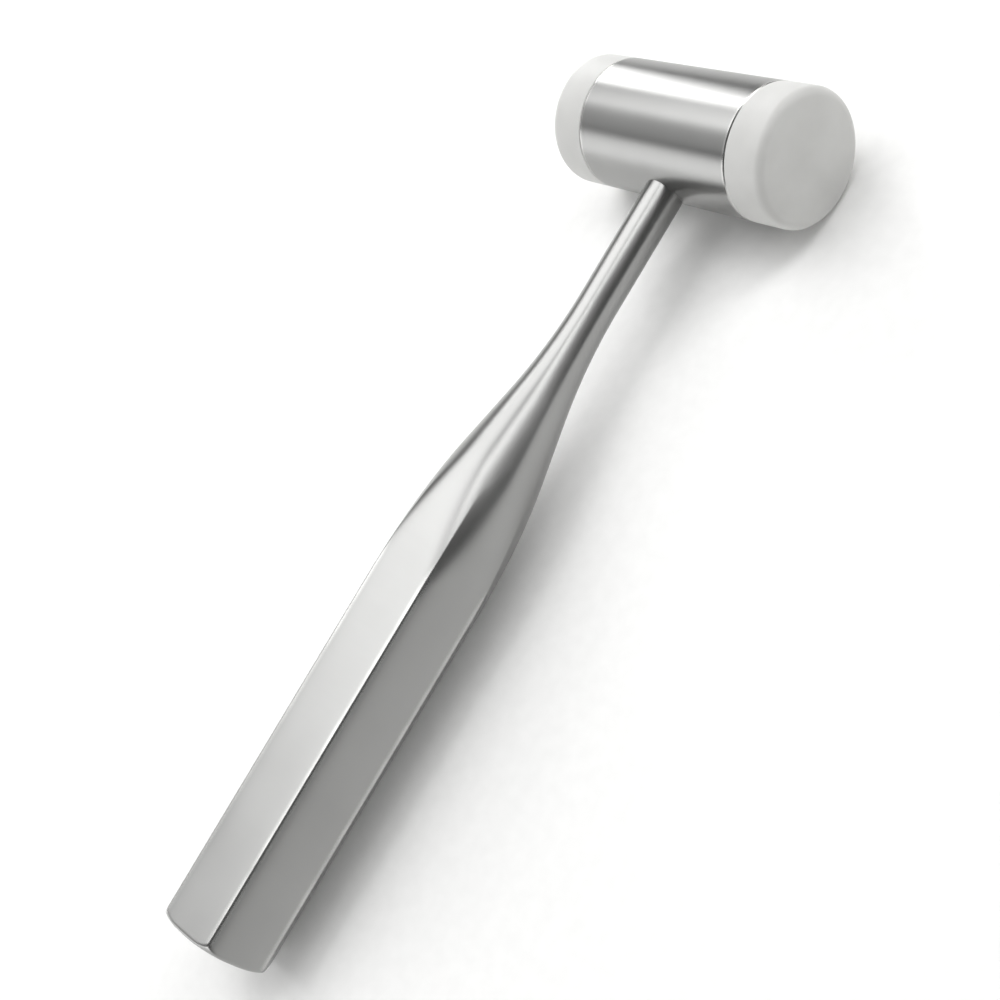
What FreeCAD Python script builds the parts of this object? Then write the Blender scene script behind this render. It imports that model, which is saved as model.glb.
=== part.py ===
import FreeCAD, Part
import os
import Sketcher

# A small surgical mallet lying on its side: a steel head with two screw-in nylon caps, and a steel
# handle whose round neck flares into a hollow hexagonal grip.
# +X runs along the head, +Y from the grip's end to the head, +Z up. The origin is the middle of the
# whole mallet's footprint, so the head's underside touches Z = 0.
# Every piece is drawn about the point where the head's axis meets the handle's axis. overCut is how
# far a cut runs past the face that it opens.

vector = FreeCAD.Vector
rotation = FreeCAD.Rotation
doc = FreeCAD.newDocument("mallet")

# Driving dimensions in millimetres, angles in degrees.
sizes = {
    "headRadius": 12.7,
    "headHalf": 19.83,
    "headEdge": 0.2,
    "capThickness": 9.4,
    "capCrown": 0.8,
    "capRim": 1.6,
    "capEdge": 0.3,
    "seamGap": 0.05,
    "studRadius": 4.0,
    "studInHead": 8.0,
    "studInCap": 5.0,
    "studEdge": 0.6,
    "threadPlay": 0.05,
    "mouldPlay": 0.03,
    "boreEnd": 0.5,
    "neckRadius": 3.92,
    "tenonReach": 7.0,
    "pinRadius": 1.5,
    "pinHalf": 7.5,
    "flareStart": 48.3,
    "flareEnd": 92.4,
    "flareBlend": 130.0,
    "shoulderBlend": 30.0,
    "turnedRadius": 12.3,
    "gripAcross": 21.0,
    "gripEdge": 0.5,
    "gripClock": 46.4,
    "gripReach": 174.3,
    "endRound": 3.0,
    "hollowRadius": 8.6,
    "hollowTop": 92.0,
    "hollowPoint": 4.0,
    "plugThickness": 4.0,
    "overCut": 1.0,
}

# Where the crossing of the two axes lies in the row's frame.
centreY = "(Sizes.gripReach - Sizes.headRadius) / 2"
centreZ = "Sizes.headRadius"
alongY = rotation(vector(1, 0, 0), -90)
alongX = rotation(vector(0, 1, 0), 90)
# The least length in millimetres that is told apart from zero.
tolerance = 1e-4

# What a sketch constraint calls the sketch's own axes, and the points of a line or an arc.
horizontalAxis = -1
verticalAxis = -2
startPoint = 1
endPoint = 2
centrePoint = 3


def makeSheet():
    sheet = doc.addObject("Spreadsheet::Sheet", "Sizes")
    for row, (alias, value) in enumerate(sizes.items(), start=1):
        sheet.set(f"A{row}", alias)
        sheet.set(f"B{row}", str(value))
        sheet.setAlias(f"B{row}", alias)
    doc.recompute()
    return sheet


sheet = makeSheet()


def place(piece, facing=rotation(), x="0", y="0"):
    # x and y are expressions for the piece's offset from the crossing of the axes
    piece.Placement = FreeCAD.Placement(vector(), facing)
    piece.setExpression("Placement.Base.x", x)
    piece.setExpression("Placement.Base.y", f"{centreY} + {y}")
    piece.setExpression("Placement.Base.z", centreZ)


def makeBody(label, facing=rotation()):
    body = doc.addObject("PartDesign::Body", label)
    place(body, facing)
    return body


def flatPlane(body):
    return next(plane for plane in body.Origin.OriginFeatures if plane.Role == "XY_Plane")


def pinCorner(sketch, corner, kind, axis, expression):
    # ties one coordinate of a corner to the sheet, or puts the corner on the axis where it is zero
    value = float(sheet.evalExpression(expression))
    if abs(value) < tolerance:
        sketch.addConstraint(Sketcher.Constraint("PointOnObject", *corner, axis))
        return
    origin = (horizontalAxis, startPoint)
    number = sketch.addConstraint(Sketcher.Constraint(kind, *origin, *corner, value))
    sketch.setExpression(f"Constraints[{number}]", expression)


def crownArc(start, end):
    # the arc from start down to end, which lies on the horizontal axis; its centre is on that axis too
    rise = end.x - start.x
    radius = (start.y ** 2 + rise ** 2) / (2 * rise)
    circle = Part.Circle(vector(end.x - radius, 0, 0), vector(0, 0, 1), radius)
    return Part.ArcOfCircle(circle, circle.parameter(end), circle.parameter(start))


def makeOutline(body, name, corners, crowned):
    # a closed outline on the XY plane; each corner is a pair of expressions, and the last corner
    # but one is joined to the last by an arc where the outline is crowned
    sketch = body.newObject("Sketcher::SketchObject", name)
    sketch.AttachmentSupport = [(flatPlane(body), "")]
    sketch.MapMode = "FlatFace"
    points = [vector(float(sheet.evalExpression(x)), float(sheet.evalExpression(y)), 0) for x, y in corners]
    count = len(points)
    arcs = [count - 2] if crowned else []
    for index in range(count):
        ends = points[index], points[(index + 1) % count]
        sketch.addGeometry(crownArc(*ends) if index in arcs else Part.LineSegment(*ends), False)
    # an arc runs anticlockwise, so its own start is the far corner of its side
    first = [endPoint if index in arcs else startPoint for index in range(count)]
    last = [startPoint if index in arcs else endPoint for index in range(count)]
    for index in range(count):
        following = (index + 1) % count
        sketch.addConstraint(
            Sketcher.Constraint("Coincident", index, last[index], following, first[following])
        )
    for index in arcs:
        sketch.addConstraint(Sketcher.Constraint("PointOnObject", index, centrePoint, horizontalAxis))
    for index, (x, y) in enumerate(corners):
        pinCorner(sketch, (index, first[index]), "DistanceX", verticalAxis, x)
        pinCorner(sketch, (index, first[index]), "DistanceY", horizontalAxis, y)
    return sketch


def spin(body, kind, name, axis, corners, crowned=False):
    # a full revolution or groove of an outline about the sketch's own horizontal or vertical axis
    sketch = makeOutline(body, name + "Outline", corners, crowned)
    feature = body.newObject("PartDesign::" + kind, name)
    feature.Profile = sketch
    feature.ReferenceAxis = (sketch, [axis])
    feature.Angle = 360
    doc.recompute()
    return feature


def roundEdges(body, name, base, blend, radius, centre):
    # a fillet on the circular edge of that radius about that centre
    edges = []
    for index, edge in enumerate(base.Shape.Edges, start=1):
        if edge.Degenerated or not isinstance(edge.Curve, Part.Circle):
            continue
        sameRadius = abs(edge.Curve.Radius - radius) < tolerance
        if sameRadius and edge.Curve.Center.distanceToPoint(centre) < tolerance:
            edges.append(f"Edge{index}")
    return fillet(body, name, base, blend, edges)


def fillet(body, name, base, blend, edges):
    feature = body.newObject("PartDesign::Fillet", name)
    feature.Base = (base, edges)
    feature.setExpression("Radius", blend)
    doc.recompute()
    return feature


def makeHead():
    body = makeBody("head_body")
    half = "Sizes.headHalf"
    radius = "Sizes.headRadius"
    spin(body, "Revolution", "Barrel", "H_Axis", [
        (f"-{half}", "0"),
        (f"{half}", "0"),
        (f"{half}", f"{radius} - Sizes.headEdge"),
        (f"{half} - Sizes.headEdge", radius),
        (f"-{half} + Sizes.headEdge", radius),
        (f"-{half}", f"{radius} - Sizes.headEdge"),
    ])
    # the blind bore that takes the handle's tenon, open on the handle's side
    spin(body, "Groove", "TenonBore", "V_Axis", [
        ("0", f"-{radius} - Sizes.overCut"),
        ("Sizes.neckRadius", f"-{radius} - Sizes.overCut"),
        ("Sizes.neckRadius", "Sizes.tenonReach"),
        ("0", "Sizes.tenonReach"),
    ])
    # the threaded bores for the two studs
    boreRadius = "Sizes.studRadius + Sizes.threadPlay"
    boreDepth = "(Sizes.studInHead + Sizes.boreEnd)"
    for name, side in (("RightBore", ""), ("LeftBore", "-1 * ")):
        spin(body, "Groove", name, "H_Axis", [
            (f"{side}({half} + Sizes.overCut)", "0"),
            (f"{side}({half} + Sizes.overCut)", boreRadius),
            (f"{side}({half} - {boreDepth})", boreRadius),
            (f"{side}({half} - {boreDepth})", "0"),
        ])
    # the locking pin goes in from the right-hand bore, so its own bore is blind at the left
    spin(body, "Groove", "PinBore", "H_Axis", [
        (f"{half} - {boreDepth} + Sizes.overCut", "0"),
        (f"{half} - {boreDepth} + Sizes.overCut", "Sizes.pinRadius"),
        ("-Sizes.pinHalf", "Sizes.pinRadius"),
        ("-Sizes.pinHalf", "0"),
    ])
    return body


def makeStud(label, angle):
    # the steel stud: its outer end is moulded into the cap, the inner end screws into the head
    body = makeBody(label, rotation(vector(0, 0, 1), angle))
    inner = "(Sizes.headHalf - Sizes.studInHead)"
    outer = "(Sizes.headHalf + Sizes.seamGap + Sizes.studInCap)"
    radius = "Sizes.studRadius"
    spin(body, "Revolution", "Shank", "H_Axis", [
        (inner, "0"),
        (inner, f"{radius} - Sizes.studEdge"),
        (f"{inner} + Sizes.studEdge", radius),
        (f"{outer} - Sizes.studEdge", radius),
        (outer, f"{radius} - Sizes.studEdge"),
        (outer, "0"),
    ])
    return body


def makeCap(label, angle):
    # the nylon cap: flush with the head, with a blind bore for the stud and a crowned face
    body = makeBody(label, rotation(vector(0, 0, 1), angle))
    seat = "(Sizes.headHalf + Sizes.seamGap)"
    rim = f"({seat} + Sizes.capThickness - Sizes.capCrown)"
    pocket = f"({seat} + Sizes.studInCap + Sizes.boreEnd)"
    radius = "Sizes.headRadius"
    boreRadius = "Sizes.studRadius + Sizes.mouldPlay"
    disc = spin(body, "Revolution", "Disc", "H_Axis", [
        (pocket, "0"),
        (pocket, boreRadius),
        (seat, boreRadius),
        (seat, f"{radius} - Sizes.capEdge"),
        (f"{seat} + Sizes.capEdge", radius),
        (rim, radius),
        (f"{rim} + Sizes.capCrown", "0"),
    ], crowned=True)
    rimCentre = vector(float(sheet.evalExpression(rim)), 0, 0)
    roundEdges(body, "Rim", disc, "Sizes.capRim", sizes["headRadius"], rimCentre)
    return body


def makeHandleForm():
    # the turned form of the handle: tenon, round neck, flare and a drum that the flats are cut from
    body = makeBody("handle_form")
    reach = "Sizes.gripReach"
    form = spin(body, "Revolution", "Form", "V_Axis", [
        ("0", "Sizes.tenonReach"),
        ("Sizes.neckRadius", "Sizes.tenonReach"),
        ("Sizes.neckRadius", "-Sizes.flareStart"),
        ("Sizes.turnedRadius", "-Sizes.flareEnd"),
        ("Sizes.turnedRadius", f"-{reach}"),
        ("Sizes.hollowRadius", f"-{reach}"),
        ("Sizes.hollowRadius", "-Sizes.hollowTop"),
        ("0", "-Sizes.hollowTop + Sizes.hollowPoint"),
    ])
    blends = [
        ("FlareBlend", "Sizes.flareBlend", sizes["neckRadius"], sizes["flareStart"]),
        ("ShoulderBlend", "Sizes.shoulderBlend", sizes["turnedRadius"], sizes["flareEnd"]),
        ("EndRound", "Sizes.endRound", sizes["turnedRadius"], sizes["gripReach"]),
    ]
    for name, blend, radius, distance in blends:
        form = roundEdges(body, name, form, blend, radius, vector(0, -distance, 0))
    # the cross bore for the locking pin
    spin(body, "Groove", "PinBore", "H_Axis", [
        ("-Sizes.neckRadius - Sizes.overCut", "0"),
        ("-Sizes.neckRadius - Sizes.overCut", "Sizes.pinRadius"),
        ("Sizes.neckRadius + Sizes.overCut", "Sizes.pinRadius"),
        ("Sizes.neckRadius + Sizes.overCut", "0"),
    ])
    return body


def makeGripPrism():
    # the hexagonal bar whose flats bound the grip; it is long enough to hold the neck as well
    body = doc.addObject("PartDesign::Body", "grip_prism")
    place(body, alongY, y="(-1 * Sizes.gripReach)")
    prism = body.newObject("PartDesign::AdditivePrism", "Bar")
    prism.Polygon = 6
    prism.setExpression("Circumradius", "Sizes.gripAcross / sqrt(3)")
    prism.setExpression("Height", "Sizes.gripReach + Sizes.tenonReach + Sizes.overCut")
    # a rotation has an axis to hold only while its angle isn't zero, so it starts at one degree
    prism.Placement = FreeCAD.Placement(vector(), rotation(vector(0, 0, 1), 1))
    prism.setExpression("Placement.Rotation.Angle", "-Sizes.gripClock")
    doc.recompute()
    far = prism.Shape.BoundBox.ZMax
    edges = []
    for index, edge in enumerate(prism.Shape.Edges, start=1):
        if edge.BoundBox.ZMin < far - tolerance:
            edges.append(f"Edge{index}")
    fillet(body, "SoftEdges", prism, "Sizes.gripEdge", edges)
    return body


def makeHandle():
    handle = doc.addObject("Part::Common", "handle")
    handle.Base = makeHandleForm()
    handle.Tool = makeGripPrism()
    handle.Refine = True
    return handle


def makeRod(label, radius, height, facing, **offset):
    rod = doc.addObject("Part::Cylinder", label)
    rod.setExpression("Radius", radius)
    rod.setExpression("Height", height)
    place(rod, facing, **offset)
    return rod


parts = [
    makeHead(),
    makeHandle(),
    makeRod("handle_pin", "Sizes.pinRadius", "2 * Sizes.pinHalf", alongX, x="-1 * Sizes.pinHalf"),
    makeRod("grip_plug", "Sizes.hollowRadius", "Sizes.plugThickness", alongY, y="(-1 * Sizes.gripReach)"),
    makeStud("stud_right", 0),
    makeStud("stud_left", 180),
    makeCap("cap_right", 0),
    makeCap("cap_left", 180),
]

doc.recompute()
for item in doc.Objects:
    if "Invalid" in item.State or "Error" in item.State:
        raise RuntimeError(f"{item.Name} did not recompute: {item.State}")

os.makedirs("parts", exist_ok=True)
for piece in parts:
    piece.Label = piece.Name
    shape = piece.Shape
    if shape.isNull() or not shape.isValid() or len(shape.Solids) != 1:
        raise RuntimeError(f"{piece.Name} is not one valid solid")
    shape.exportStep(f"parts/{piece.Name}.step")
    print(piece.Name, "volume", round(shape.Volume), "cubic mm")
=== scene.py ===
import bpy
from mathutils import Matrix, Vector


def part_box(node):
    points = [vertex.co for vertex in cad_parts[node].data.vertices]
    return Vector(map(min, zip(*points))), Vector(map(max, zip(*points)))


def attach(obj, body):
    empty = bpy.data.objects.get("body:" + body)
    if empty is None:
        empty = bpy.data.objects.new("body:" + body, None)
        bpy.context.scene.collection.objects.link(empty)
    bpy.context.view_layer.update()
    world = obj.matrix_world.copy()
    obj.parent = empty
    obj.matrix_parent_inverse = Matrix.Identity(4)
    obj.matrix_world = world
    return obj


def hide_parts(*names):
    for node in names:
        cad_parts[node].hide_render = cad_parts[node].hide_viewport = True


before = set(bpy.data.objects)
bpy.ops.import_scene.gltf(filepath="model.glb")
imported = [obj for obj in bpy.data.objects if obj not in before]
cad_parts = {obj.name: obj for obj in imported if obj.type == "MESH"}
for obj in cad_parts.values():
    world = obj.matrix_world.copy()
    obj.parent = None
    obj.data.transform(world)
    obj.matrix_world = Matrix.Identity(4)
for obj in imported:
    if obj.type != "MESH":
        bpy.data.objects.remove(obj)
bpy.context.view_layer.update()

import math

import bpy
import numpy as np
from mathutils import Matrix, Vector

mm = 0.001
degree = math.pi / 180

# the two axes of the mallet cross inside the head: the head's runs along X, the handle's along Y
headLow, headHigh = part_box("head_body")
headCentre = (headLow + headHigh) / 2
headRadius = (headHigh.z - headLow.z) / 2
headHalf = (headHigh.x - headLow.x) / 2
handleLow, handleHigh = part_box("handle")


def srgb(code):
    # one hex colour to linear red, green, blue and full alpha
    values = np.array([int(code[i:i + 2], 16) for i in (1, 3, 5)]) / 255
    linear = np.where(values <= 0.04045, values / 12.92, ((values + 0.055) / 1.055) ** 2.4)
    return (*linear.tolist(), 1.0)


def addNode(tree, kind, settings=None, links=None, **attributes):
    # one node with its attributes, the values of its sockets, and what feeds its sockets
    node = tree.nodes.new(kind)
    for name, value in attributes.items():
        setattr(node, name, value)
    for name, value in (settings or {}).items():
        node.inputs[name].default_value = value
    for name, source in (links or {}).items():
        tree.links.new(source, node.inputs[name])
    return node


def addRamp(tree, source, stops):
    # a colour ramp with its stops as pairs of position and hex colour
    ramp = addNode(tree, "ShaderNodeValToRGB", links={"Fac": source})
    elements = ramp.color_ramp.elements
    while len(elements) < len(stops):
        elements.new(0.5)
    for element, (position, code) in zip(elements, stops):
        element.position = position
        element.color = srgb(code)
    return ramp.outputs["Color"]


def startMaterial(name):
    # an empty material, its node tree and its object coordinates
    material = bpy.data.materials.new(name)
    material.use_nodes = True
    tree = material.node_tree
    tree.nodes.clear()
    place = addNode(tree, "ShaderNodeTexCoord").outputs["Object"]
    return material, tree, place


def finishMaterial(tree, settings, links):
    # the principled shader and the output that shows it
    shader = addNode(tree, "ShaderNodeBsdfPrincipled", settings, links)
    addNode(tree, "ShaderNodeOutputMaterial", links={"Surface": shader.outputs["BSDF"]})


def grainNoise(tree, place, grain, detail=2.0):
    # noise stretched by a different amount along each axis; grain is how many marks per metre
    mapped = addNode(tree, "ShaderNodeMapping", {"Scale": grain}, {"Vector": place})
    noise = addNode(
        tree, "ShaderNodeTexNoise", {"Scale": 1.0, "Detail": detail}, {"Vector": mapped.outputs["Vector"]}
    )
    return noise.outputs["Fac"]


noiseLow, noiseHigh = 0.3, 0.7     # nearly all of a noise texture's values lie between these


def spread(tree, source, low, high):
    # maps the usual range of a noise to the range from low to high
    node = addNode(
        tree, "ShaderNodeMapRange",
        {"From Min": noiseLow, "From Max": noiseHigh, "To Min": low, "To Max": high}, {"Value": source},
    )
    return node.outputs["Result"]


steelLook = {
    "bright": "#9e9e9d",
    "dull": "#9a9a99",
    "dullBelow": 0.35,      # of the cloud noise
    "brightAbove": 0.65,
    "cloudSize": 14.0,      # mm, the slow drift of tone and roughness
    "roughLow": 0.27,
    "roughHigh": 0.30,
    "lineRough": 0.06,      # how much rougher a line is than the ground
    "lineWidth": 0.28,      # mm between the satin finish's lines, drawn coarser than the real grit
    "lineLength": 9.0,      # mm
    "lineDepth": 0.0010,    # mm
    "lineDetail": 3.0,
    "smear": 0.7,
    "smearTurn": 0.25,      # quarter of a turn: reflections smear across lines that run round the axis
    "worn": "#c2c2c0",      # edges polished by handling
    "wornRough": 0.20,
}
wearLook = {"patch": 5.0, "least": 0.5, "most": 1.0}     # patches in mm, and the wear's share in them


def wornEdge(tree, place, edge):
    # how worn a point is, 0 to 1: its distance from the head's centre, counted only along the axes
    # that edge names, taken from where the wear starts to where it is full, and broken up by noise
    centred = addNode(
        tree, "ShaderNodeVectorMath", {1: tuple(headCentre)}, {0: place}, operation="SUBTRACT"
    )
    counted = addNode(
        tree, "ShaderNodeVectorMath", {1: edge["axes"]}, {0: centred.outputs["Vector"]}, operation="MULTIPLY"
    )
    distance = addNode(
        tree, "ShaderNodeVectorMath", links={0: counted.outputs["Vector"]}, operation="LENGTH"
    )
    ramp = addNode(
        tree, "ShaderNodeMapRange", {"From Min": edge["start"] * mm, "From Max": edge["full"] * mm},
        {"Value": distance.outputs["Value"]}, interpolation_type="SMOOTHSTEP",
    )
    patchNoise = grainNoise(tree, place, [1 / (wearLook["patch"] * mm)] * 3)
    patches = spread(tree, patchNoise, wearLook["least"], wearLook["most"])
    worn = addNode(
        tree, "ShaderNodeMath", links={0: ramp.outputs["Result"], 1: patches}, operation="MULTIPLY"
    )
    return worn.outputs["Value"]


def makeSatinSteel(name, axis, edge):
    # satin stainless steel, finished with a fine belt: a soft grey mirror whose fine lines run round
    # the axis and smear each reflection across them, polished brighter along the worn edges
    look = steelLook
    material, tree, place = startMaterial(name)
    fine, coarse = 1 / (look["lineWidth"] * mm), 1 / (look["lineLength"] * mm)
    grain = [fine if letter == axis else coarse for letter in "XYZ"]
    lines = grainNoise(tree, place, grain, look["lineDetail"])
    clouds = grainNoise(tree, place, [1 / (look["cloudSize"] * mm)] * 3)
    worn = wornEdge(tree, place, edge)
    rough = addNode(
        tree, "ShaderNodeMath",
        {1: look["lineRough"]}, {0: lines, 2: spread(tree, clouds, look["roughLow"], look["roughHigh"])},
        operation="MULTIPLY_ADD",
    )
    wornRough = addNode(
        tree, "ShaderNodeMix", {"B": look["wornRough"]}, {"Factor": worn, "A": rough.outputs["Value"]}
    )
    tone = addRamp(tree, clouds, [(look["dullBelow"], look["dull"]), (look["brightAbove"], look["bright"])])
    wornTone = addNode(
        tree, "ShaderNodeMixRGB", {"Color2": srgb(look["worn"])}, {"Fac": worn, "Color1": tone}
    )
    bump = addNode(
        tree, "ShaderNodeBump", {"Strength": 1.0, "Distance": look["lineDepth"] * mm}, {"Height": lines}
    )
    tangent = addNode(tree, "ShaderNodeTangent", direction_type="RADIAL", axis=axis)
    finishMaterial(
        tree, {"Metallic": 1.0, "Anisotropic": look["smear"], "Anisotropic Rotation": look["smearTurn"]},
        {
            "Base Color": wornTone.outputs["Color"],
            "Roughness": wornRough.outputs["Result"],
            "Normal": bump.outputs["Normal"],
            "Tangent": tangent.outputs["Tangent"],
        },
    )
    return material


threadLook = {
    "dark": "#a9a9a8",
    "bright": "#cbcbca",
    "ringWidth": 0.1,       # mm between tool rings
    "ringLength": 20.0,     # mm
    "ringDepth": 0.002,     # mm
    "roughLow": 0.18,
    "roughHigh": 0.32,
}


def makeTurnedSteel():
    # turned and threaded stainless steel: brighter and sharper than the satin, with fine tool rings
    look = threadLook
    material, tree, place = startMaterial("turnedStainlessThread")
    width, length = look["ringWidth"] * mm, look["ringLength"] * mm
    rings = grainNoise(tree, place, [1 / width, 1 / length, 1 / length])
    tone = addRamp(tree, rings, [(noiseLow, look["dark"]), (noiseHigh, look["bright"])])
    rough = spread(tree, rings, look["roughLow"], look["roughHigh"])
    bump = addNode(
        tree, "ShaderNodeBump", {"Strength": 1.0, "Distance": look["ringDepth"] * mm}, {"Height": rings}
    )
    finishMaterial(
        tree, {"Metallic": 1.0}, {"Base Color": tone, "Roughness": rough, "Normal": bump.outputs["Normal"]}
    )
    return material


nylonLook = {
    "dark": "#c3c3c1",
    "light": "#cbcbc9",
    "cloudSize": 9.0,       # mm
    "grain": 0.35,          # mm, drawn coarser than the real tool marks
    "grainDepth": 0.006,    # mm
    "grainDetail": 4.0,
    "roughLow": 0.48,
    "roughHigh": 0.58,
    "scuffRough": 0.1,      # how much rougher the struck face is
    "sink": 2.0,            # mm that light travels inside
    "sinkShare": 0.5,       # of the light that hits it
    "refraction": 1.53,
}
struckFace = {"axes": (1, 0, 0), "start": 27.9, "full": 28.6}     # mm from the head's centre


def makeNylon():
    # white nylon turned from bar: light sinks a little way in and softens its edges, and the skin has
    # a soft sheen over a very fine grain, duller where the face is struck
    look = nylonLook
    material, tree, place = startMaterial("turnedWhiteNylon")
    clouds = grainNoise(tree, place, [1 / (look["cloudSize"] * mm)] * 3)
    fine = grainNoise(tree, place, [1 / (look["grain"] * mm)] * 3, look["grainDetail"])
    struck = wornEdge(tree, place, struckFace)
    skin = spread(tree, fine, look["roughLow"], look["roughHigh"])
    rough = addNode(
        tree, "ShaderNodeMath", {1: look["scuffRough"]}, {0: struck, 2: skin}, operation="MULTIPLY_ADD"
    )
    tone = addRamp(tree, clouds, [(noiseLow, look["dark"]), (noiseHigh, look["light"])])
    bump = addNode(
        tree, "ShaderNodeBump", {"Strength": 1.0, "Distance": look["grainDepth"] * mm}, {"Height": fine}
    )
    finishMaterial(
        tree,
        {
            "IOR": look["refraction"],
            "Subsurface Weight": look["sinkShare"],
            "Subsurface Radius": (1.0, 1.0, 1.0),
            "Subsurface Scale": look["sink"] * mm,
        },
        {"Base Color": tone, "Roughness": rough.outputs["Value"], "Normal": bump.outputs["Normal"]},
    )
    return material


def gridMesh(name, points, material):
    # a closed surface from rings of points: rings x points x 3, the first and last ring each shrunk
    # to a pole. Neighbouring rings are joined by quads and each pole by triangles
    rings, count = points.shape[:2]
    ring = np.arange(count)
    after = (ring + 1) % count
    inner = points[1:-1].reshape(-1, 3)
    poles = points[[0, -1], 0]
    vertices = np.concatenate([inner, poles])
    first = (np.arange(rings - 3) * count)[:, None]
    quads = np.stack([first + ring, first + after, first + count + after, first + count + ring], axis=-1)
    quads = quads.reshape(-1, 4)
    topPole, endPole = len(inner), len(inner) + 1
    lastRing = (rings - 3) * count
    topFan = np.stack([after, ring, np.full(count, topPole)], axis=-1)
    endFan = np.stack([lastRing + ring, lastRing + after, np.full(count, endPole)], axis=-1)
    mesh = bpy.data.meshes.new(name)
    mesh.from_pydata(vertices.tolist(), [], quads.tolist() + topFan.tolist() + endFan.tolist())
    mesh.polygons.foreach_set("use_smooth", np.ones(len(mesh.polygons), bool))
    mesh.materials.append(material)
    mesh.update()
    piece = bpy.data.objects.new(name, mesh)
    bpy.context.scene.collection.objects.link(piece)
    return piece


def roundedPath(corners, steps=8):
    # a path through corners of (along, radius, blend): each corner with a blend is swapped for the
    # arc of that radius that touches both of its sides, drawn as steps chords
    path = []
    count = len(corners)
    for i, (along, radius, blend) in enumerate(corners):
        corner = np.array([along, radius])
        if blend == 0 or i in (0, count - 1):
            path.append(corner[None])
            continue
        before = np.array(corners[i - 1][:2]) - corner
        behind = np.array(corners[i + 1][:2]) - corner
        before /= np.linalg.norm(before)
        behind /= np.linalg.norm(behind)
        half = math.acos(np.clip(before @ behind, -1, 1)) / 2
        middle = (before + behind) / np.linalg.norm(before + behind)
        centre = corner + middle * blend / math.sin(half)
        start = corner + before * blend / math.tan(half) - centre
        end = corner + behind * blend / math.tan(half) - centre
        part = np.linspace(0, 1, steps + 1)[:, None]
        sweep = math.pi - 2 * half
        arc = (np.sin((1 - part) * sweep) * start + np.sin(part * sweep) * end) / math.sin(sweep)
        path.append(centre + arc)
    return np.concatenate(path)


def addSupport(path, step):
    # divides the long runs of a path so that no chord is longer than step
    pieces = []
    for start, end in zip(path[:-1], path[1:]):
        parts = max(1, int(np.ceil(np.linalg.norm(end - start) / step)))
        pieces.append(start + (end - start) * (np.arange(parts) / parts)[:, None])
    return np.concatenate(pieces + [path[-1:]])


def headSpin(path, side, count=128, depth=None):
    # spins a path of (distance from the head's centre, radius) in metres about the head's axis; side
    # is 1 on the right and -1 on the left, and depth takes a groove off the radius
    angle = np.arange(count) * 2 * math.pi / count * side
    along = path[:, :1] * np.ones(count)
    radius = path[:, 1:] - (depth(path[:, :1], angle) if depth else 0)
    points = np.stack([side * along, radius * np.cos(angle), radius * np.sin(angle)], axis=-1)
    return points + np.array(headCentre)


# handle: the round neck is a turned form that flares, cut by six flats into the grip
handleShape = {
    "neckRadius": 3.92,     # mm, as every length here
    "flareStart": 48.3,     # mm from the head's axis, where the flare's cone would leave the neck
    "flareSlope": 0.19,
    "flareBlend": 2.2,      # mm over which neck and cone melt together
    "flatDistance": 10.5,   # mm from the axis to a flat
    "flatCrown": 0.15,      # mm that a polished flat falls off towards its edges
    "edgeRadius": 0.4,
    "shoulderBlend": 2.2,   # mm over which the flare and the flats melt together
    "clock": 46.4,          # degrees from the head's axis up to the front ridge
    "endEdge": 0.9,         # the small round all along the end's outline
    "endTurn": 3.0,         # the round that is turned on the end's six corners
    "turnedRadius": 12.3,   # of the drum that the end's corners are turned to
    "plugRadius": 8.6,
    "plugEdge": 0.15,       # the bevel of the plug's bore
    "plugDepth": 4.0,
    "hollowTop": 92.0,      # from the head's axis to the end of the hollow's full bore
    "hollowPoint": 4.0,     # the drilled point beyond it
    "tenonInset": 0.2,      # mm by which the hidden inner end is drawn in
    "drumBlend": 0.3,       # mm over which the end's turned round meets the hexagon
}
handleGrid = {
    "neckEnd": 34.0,        # mm from the head's axis, where the rings start to crowd for the flare
    "flareEnd": 98.0,       # mm, where they spread out again along the grip
    "firstRing": 0.3,       # mm from the inner end
    "neckStep": 1.5,
    "flareStep": 0.5,
    "gripStep": 2.0,
    "endRings": 14,
    "faceRings": 6,
    "sectorPoints": 32,
    "sectorPull": 3.2,      # how strongly the points crowd towards the six edges
}


def smoothMin(a, b, width):
    # the smaller of two lengths, with the corner between them rounded over width
    part = np.clip(0.5 + 0.5 * (b - a) / width, 0, 1)
    return b * (1 - part) + a * part - width * part * (1 - part)


def hexRadius(angle):
    # distance from the axis to a hexagon with slightly crowned flats and round edges
    shape = handleShape
    sixth = math.pi / 3
    fillet = shape["edgeRadius"]
    fromEdge = (angle + sixth / 2) % sixth - sixth / 2
    fromFlat = np.abs(fromEdge) - sixth / 2
    corner = (shape["flatDistance"] - fillet) / math.cos(sixth / 2)
    touch = math.atan2(fillet / 2, corner + fillet * math.cos(sixth / 2))
    across = np.clip(np.abs(np.tan(fromFlat)) / math.tan(sixth / 2 - touch), 0, 1)
    flat = shape["flatDistance"] / np.cos(fromFlat) - shape["flatCrown"] * across ** 4
    reach = fillet ** 2 - (corner * np.sin(fromEdge)) ** 2
    edge = corner * np.cos(fromEdge) + np.sqrt(np.maximum(reach, 0)) - shape["flatCrown"]
    return np.where(np.abs(fromEdge) < touch, edge, flat)


def handleStations(reach, tenon):
    # distances in mm from the head's axis, close together where the form changes
    shape, grid = handleShape, handleGrid
    neck = np.arange(tenon + grid["firstRing"], grid["neckEnd"], grid["neckStep"])
    flare = np.arange(grid["neckEnd"], grid["flareEnd"], grid["flareStep"])
    grip = np.arange(grid["flareEnd"], reach - shape["endTurn"], grid["gripStep"])
    quarter = np.linspace(0, math.pi / 2, grid["endRings"])
    end = reach - shape["endTurn"] * (1 - np.sin(quarter))
    return np.concatenate([neck, flare, grip, end])[:, None]


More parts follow.
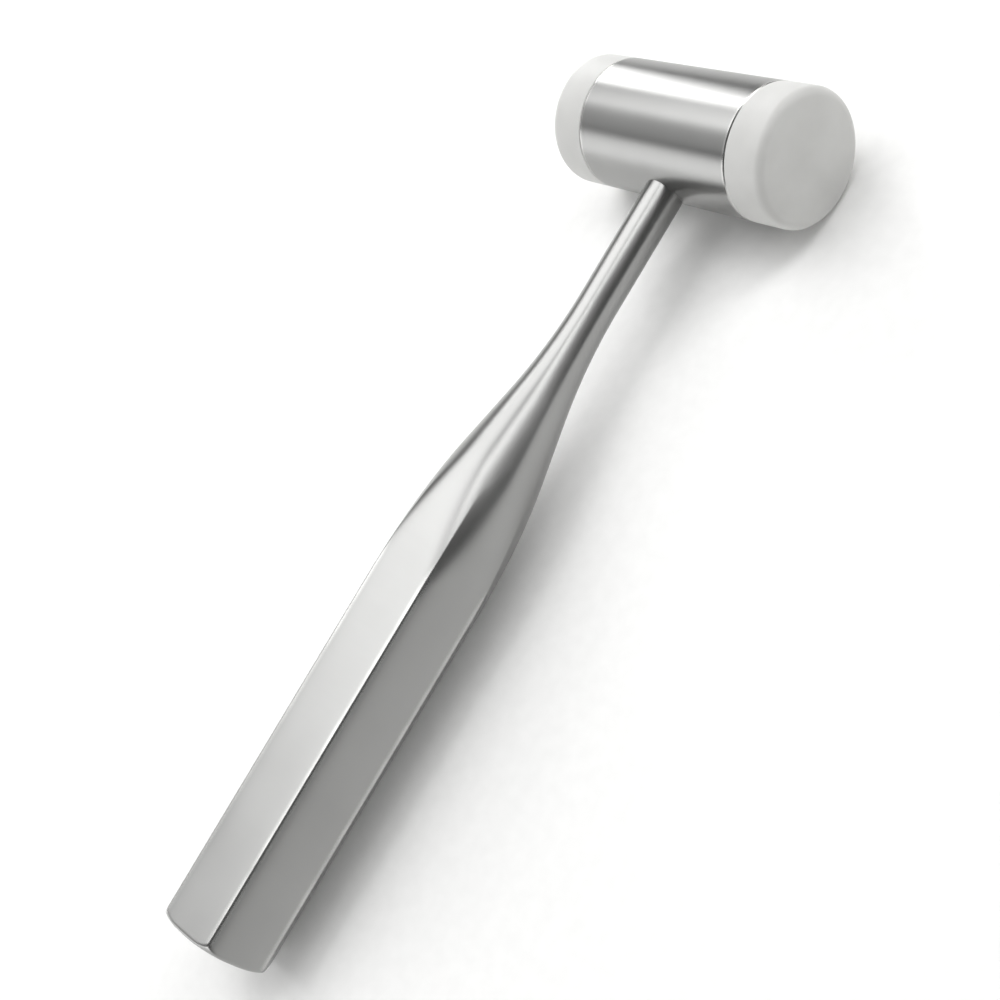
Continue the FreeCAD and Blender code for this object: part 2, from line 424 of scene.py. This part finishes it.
def handleRadius(station, angle, reach):
    # the handle's outside in mm: the smaller of a turned form and a hexagon, melted together
    shape = handleShape
    # the turned form: a straight neck that runs softly into a cone
    rise = (station - shape["flareStart"]) * shape["flareSlope"]
    turned = shape["neckRadius"] + rise - smoothMin(rise, 0 * rise, shape["flareBlend"])
    # the end's edges: an inset all round, and a larger round that is turned on the corners
    fromEnd = np.clip(shape["endEdge"] - (reach - station), 0, None)
    inset = shape["endEdge"] - np.sqrt(shape["endEdge"] ** 2 - fromEnd ** 2)
    hexagon = hexRadius(angle)[None, :] * (1 - inset / shape["flatDistance"])
    fromTurn = np.clip(shape["endTurn"] - (reach - station), 0, None)
    drum = shape["turnedRadius"] - shape["endTurn"] + np.sqrt(shape["endTurn"] ** 2 - fromTurn ** 2)
    radius = smoothMin(turned * np.ones_like(hexagon), hexagon, shape["shoulderBlend"])
    return smoothMin(radius, drum * np.ones_like(hexagon), shape["drumBlend"])


def makeHandle(material):
    # rings of the handle's outside, then its end face, the plug's bore and the hollow's drilled point
    shape, grid = handleShape, handleGrid
    sixth = math.pi / 3
    # angles sit close together at the six edges and further apart across the flats
    pull = grid["sectorPull"]
    evenly = np.linspace(-1, 1, grid["sectorPoints"] + 1)[:-1]
    sector = np.sinh(evenly * pull) / math.sinh(pull) * sixth / 2
    angle = (sector + (np.arange(6) * sixth)[:, None]).reshape(-1)
    reach = (headCentre.y - handleLow.y) / mm
    tenon = (headCentre.y - handleHigh.y) / mm
    station = handleStations(reach, tenon)
    radius = handleRadius(station, angle, reach)
    bore = shape["plugRadius"]
    mix = np.linspace(0, 1, grid["faceRings"] + 1)[1:, None]
    face = radius[-1] * (1 - mix) + (bore + shape["plugEdge"]) * mix
    inside = [
        (reach - shape["plugEdge"], bore),
        (reach - shape["plugDepth"], bore),
        (shape["hollowTop"], bore),
        (shape["hollowTop"] - shape["hollowPoint"], 0),
    ]
    innerRings = [np.full((1, len(angle)), ring) for _, ring in inside]
    tenonRings = [0 * radius[:1], radius[:1] - shape["tenonInset"]]
    radius = np.concatenate(tenonRings + [radius, face] + innerRings)
    innerStations = [along for along, _ in inside]
    station = np.concatenate([[tenon, tenon], station[:, 0], np.full(len(mix), reach), innerStations])
    turnedAngle = angle + shape["clock"] * degree
    points = np.stack(
        [
            radius * np.cos(turnedAngle),
            -station[:, None] * np.ones(len(angle)),
            radius * np.sin(turnedAngle),
        ],
        axis=-1,
    ) * mm + np.array(headCentre)
    piece = gridMesh("steel_handle", points, material)
    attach(piece, "mallet")
    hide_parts("handle")
    return piece


plugShape = {
    "innerEdge": 0.12,      # mm
    "outerEdge": 0.2,       # mm
    "edgeSteps": 4,
    "support": 1.5,         # mm, the longest step between rings
    "around": 96,
}


def makePlug(material):
    # the welded plug: a disc with round edges, spun about the handle's axis
    shape = plugShape
    low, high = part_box("grip_plug")
    radius = (high.x - low.x) / 2
    thickness = high.y - low.y
    corners = [
        (0, 0, 0),
        (0, radius, shape["innerEdge"] * mm),
        (thickness, radius, shape["outerEdge"] * mm),
        (thickness, 0, 0),
    ]
    path = addSupport(roundedPath(corners, shape["edgeSteps"]), shape["support"] * mm)
    count = shape["around"]
    angle = np.arange(count) * 2 * math.pi / count
    points = np.stack(
        [path[:, 1:] * np.cos(angle), path[:, :1] * np.ones(count), path[:, 1:] * np.sin(angle)], axis=-1
    ) + np.array([headCentre.x, low.y, headCentre.z])
    piece = gridMesh("weld_plug", points[:, ::-1], material)
    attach(piece, "mallet")
    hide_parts("grip_plug")
    return piece


capShape = {
    "seamEdge": 0.3,        # mm, the broken edge at the seam
    "rim": 1.6,             # mm, the rim's round
    "crown": 0.8,           # mm that the struck face bulges
    "bore": 4.03,           # mm, the stud's hole
    "boreDepth": 5.5,
    "crownFrom": 6.0,       # mm from the seat; the crown is laid on everything beyond this
    "edgeSteps": 14,
    "support": 0.8,         # mm, the longest step between rings
}


def makeCap(side, name, material):
    # a turned cap: a broken edge at the seam, a straight side, a round rim and a crowned face
    shape = capShape
    low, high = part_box("cap_" + name)
    seat = min(abs(low.x), abs(high.x)) / mm
    top = max(abs(low.x), abs(high.x)) / mm
    radius = headRadius / mm
    shoulder = top - shape["crown"]
    flank = [
        (seat + shape["boreDepth"], 0, 0),
        (seat + shape["boreDepth"], shape["bore"], 0),
        (seat, shape["bore"], 0),
        (seat, radius, shape["seamEdge"]),
        (shoulder, radius, shape["rim"]),
        (shoulder, 0, 0),
    ]
    path = addSupport(roundedPath(flank, shape["edgeSteps"]), shape["support"])
    # the crown: a parabola over the radius, laid on from the rim inwards
    crown = shape["crown"] * (1 - (path[:, 1] / radius) ** 2)
    path[:, 0] += np.where(path[:, 0] > seat + shape["crownFrom"], crown, 0)
    piece = gridMesh("nylon_cap_" + name, headSpin(path * mm, side), material)
    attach(piece, name + "_cap")
    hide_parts("cap_" + name)
    return piece


threadShape = {
    "pitch": 1.25,          # mm
    "depth": 0.68,          # mm
    "edge": 0.6,            # mm, the bevel at the inner end
    "waveTop": 1.15,        # above 1, so the groove's bottom is flat
    "waveSlope": 1.3,       # more than the top, so the crest is flat too
    "support": 0.1,         # mm, the longest step between rings
    "around": 72,
    "tolerance": 0.01,      # mm
}


def makeStud(side, name, material):
    # a threaded stud: the groove's depth is a triangle wave of distance along the axis less one pitch
    # per turn, which winds as a right-hand thread
    shape = threadShape
    low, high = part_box("stud_" + name)
    inner, outer = sorted((abs(low.x) / mm, abs(high.x) / mm))
    radius = (high.z - low.z) / 2 / mm
    corners = [
        (inner, 0, 0),
        (inner, radius - shape["edge"], 0),
        (inner + shape["edge"], radius, 0),
        (outer, radius, 0),
        (outer, 0, 0),
    ]
    path = addSupport(roundedPath(corners), shape["support"])
    threaded = path[:, 1:] > radius - shape["edge"] - shape["tolerance"]

    def groove(along, angle):
        phase = (side * along / (shape["pitch"] * mm) - angle / (2 * math.pi)) % 1
        wave = np.clip(shape["waveTop"] - np.abs(phase * 2 - 1) * shape["waveSlope"], 0, 1)
        return shape["depth"] * mm * wave * threaded

    points = headSpin(path * mm, side, shape["around"], groove)
    piece = gridMesh("threaded_stud_" + name, points, material)
    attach(piece, name + "_stud")
    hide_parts("stud_" + name)
    return piece


# the head wears at its two ends and the grip along its six ridges; distances in mm
headEdge = {"axes": (1, 0, 0), "start": 19.0, "full": 19.8}
gripEdge = {"axes": (1, 0, 1), "start": 11.5, "full": 11.9}
steelAround = makeSatinSteel("satinStainlessTurned", "X", headEdge)
steelAlong = makeSatinSteel("satinStainlessBelted", "Y", gripEdge)
turnedSteel = makeTurnedSteel()
nylon = makeNylon()
print("materials made")

for nodeName, look in (("head_body", steelAround), ("handle_pin", turnedSteel)):
    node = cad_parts[nodeName]
    node.data.materials.clear()
    node.data.materials.append(look)
makeHandle(steelAlong)
makePlug(steelAlong)
for side, name in ((1, "right"), (-1, "left")):
    makeCap(side, name, nylon)
    makeStud(side, name, turnedSteel)
print("pieces made")

floorLook = {
    "size": 2.2,            # m
    "dark": "#f3f3f2",
    "light": "#f6f6f5",
    "mottle": 3.0,          # mm
    "rough": 0.8,
}


def makeFloor():
    # a plain pale studio sheet under the mallet
    look = floorLook
    material, tree, place = startMaterial("paleStudioSheet")
    mottle = grainNoise(tree, place, [1 / (look["mottle"] * mm)] * 3)
    tone = addRamp(tree, mottle, [(noiseLow, look["dark"]), (noiseHigh, look["light"])])
    finishMaterial(tree, {"Roughness": look["rough"]}, {"Base Color": tone})
    half = look["size"] / 2
    corners = [(-half, -half, 0), (half, -half, 0), (half, half, 0), (-half, half, 0)]
    mesh = bpy.data.meshes.new("studio_floor")
    mesh.from_pydata(corners, [], [(0, 1, 2, 3)])
    mesh.materials.append(material)
    floor = bpy.data.objects.new("studio_floor", mesh)
    bpy.context.scene.collection.objects.link(floor)


makeFloor()

# softboxes: azimuth from +X towards +Y and elevation in degrees, size in metres, watts
softboxDistance = 1.0
softboxes = {
    "overheadBox": {"azimuth": 148, "elevation": 69, "width": 0.8, "height": 1.0, "watts": 5.4},
    "topBox": {"azimuth": 177, "elevation": 58, "width": 1.2, "height": 0.95, "watts": 2.6},
    "lowStrip": {"azimuth": 142, "elevation": 17, "width": 0.2, "height": 0.62, "watts": 3.2},
    "edgeBox": {"azimuth": 183, "elevation": 9, "width": 0.7, "height": 0.3, "watts": 0.6},
    "sideBox": {"azimuth": 252, "elevation": 16, "width": 2.2, "height": 0.55, "watts": 7.3},
    "fillStrip": {"azimuth": 57, "elevation": 37, "width": 0.3, "height": 1.5, "watts": 6.3},
}


def addSoftbox(name, box):
    # one rectangular soft light that faces the origin
    light = bpy.data.lights.new(name, "AREA")
    light.shape = "RECTANGLE"
    light.size = box["width"]
    light.size_y = box["height"]
    light.energy = box["watts"]
    azimuth = box["azimuth"] * degree
    elevation = box["elevation"] * degree
    towards = Vector((
        math.cos(elevation) * math.cos(azimuth), math.cos(elevation) * math.sin(azimuth), math.sin(elevation)
    ))
    lamp = bpy.data.objects.new(name, light)
    lamp.location = towards * softboxDistance
    lamp.rotation_euler = towards.to_track_quat("Z", "Y").to_euler()
    bpy.context.scene.collection.objects.link(lamp)


for name, box in softboxes.items():
    addSoftbox(name, box)


worldLook = {"room": 0.14, "roomColour": "#ffffff", "backdrop": 1.0, "backdropColour": "#f4f4f3"}


def makeWorld():
    # a dim even room that the steel mirrors, in front of a pale backdrop
    world = bpy.data.worlds.new("studioWorld")
    bpy.context.scene.world = world
    world.use_nodes = True
    tree = world.node_tree
    tree.nodes.clear()
    look = worldLook
    room = addNode(
        tree, "ShaderNodeBackground", {"Color": srgb(look["roomColour"]), "Strength": look["room"]}
    )
    backdrop = addNode(
        tree, "ShaderNodeBackground", {"Color": srgb(look["backdropColour"]), "Strength": look["backdrop"]}
    )
    path = addNode(tree, "ShaderNodeLightPath")
    mix = addNode(
        tree, "ShaderNodeMixShader",
        links={0: path.outputs["Is Camera Ray"], 1: room.outputs[0], 2: backdrop.outputs[0]},
    )
    addNode(tree, "ShaderNodeOutputWorld", links={"Surface": mix.outputs["Shader"]})


makeWorld()
bpy.context.scene.view_settings.view_transform = "Standard"

# the camera: where it stands from the head's centre in mm, how it is turned in degrees, its lens in mm
cameraSetting = {
    "place": (218.07, -95.07, 194.64),
    "heading": 175.56,
    "downward": 42.26,
    "roll": 56.16,
    "lens": 56.5,
    "sensor": 36,
    "nearest": 10.0,
}


def addCamera():
    # the camera looks along forward; roll turns it about that direction
    setting = cameraSetting
    heading = setting["heading"] * degree
    downward = setting["downward"] * degree
    forward = Vector((
        math.cos(downward) * math.cos(heading), math.cos(downward) * math.sin(heading), -math.sin(downward)
    ))
    level = forward.cross(Vector((0, 0, 1))).normalized()
    upright = level.cross(forward)
    roll = setting["roll"] * degree
    up = upright * math.cos(roll) + level * math.sin(roll)
    right = forward.cross(up)
    data = bpy.data.cameras.new("mainCamera")
    data.lens = setting["lens"]
    data.sensor_width = setting["sensor"]
    data.clip_start = setting["nearest"] * mm
    camera = bpy.data.objects.new("mainCamera", data)
    turn = Matrix((right, up, -forward)).transposed()
    camera.matrix_world = Matrix.Translation(headCentre + Vector(setting["place"]) * mm) @ turn.to_4x4()
    bpy.context.scene.collection.objects.link(camera)
    bpy.context.scene.camera = camera


addCamera()
print("studio made")
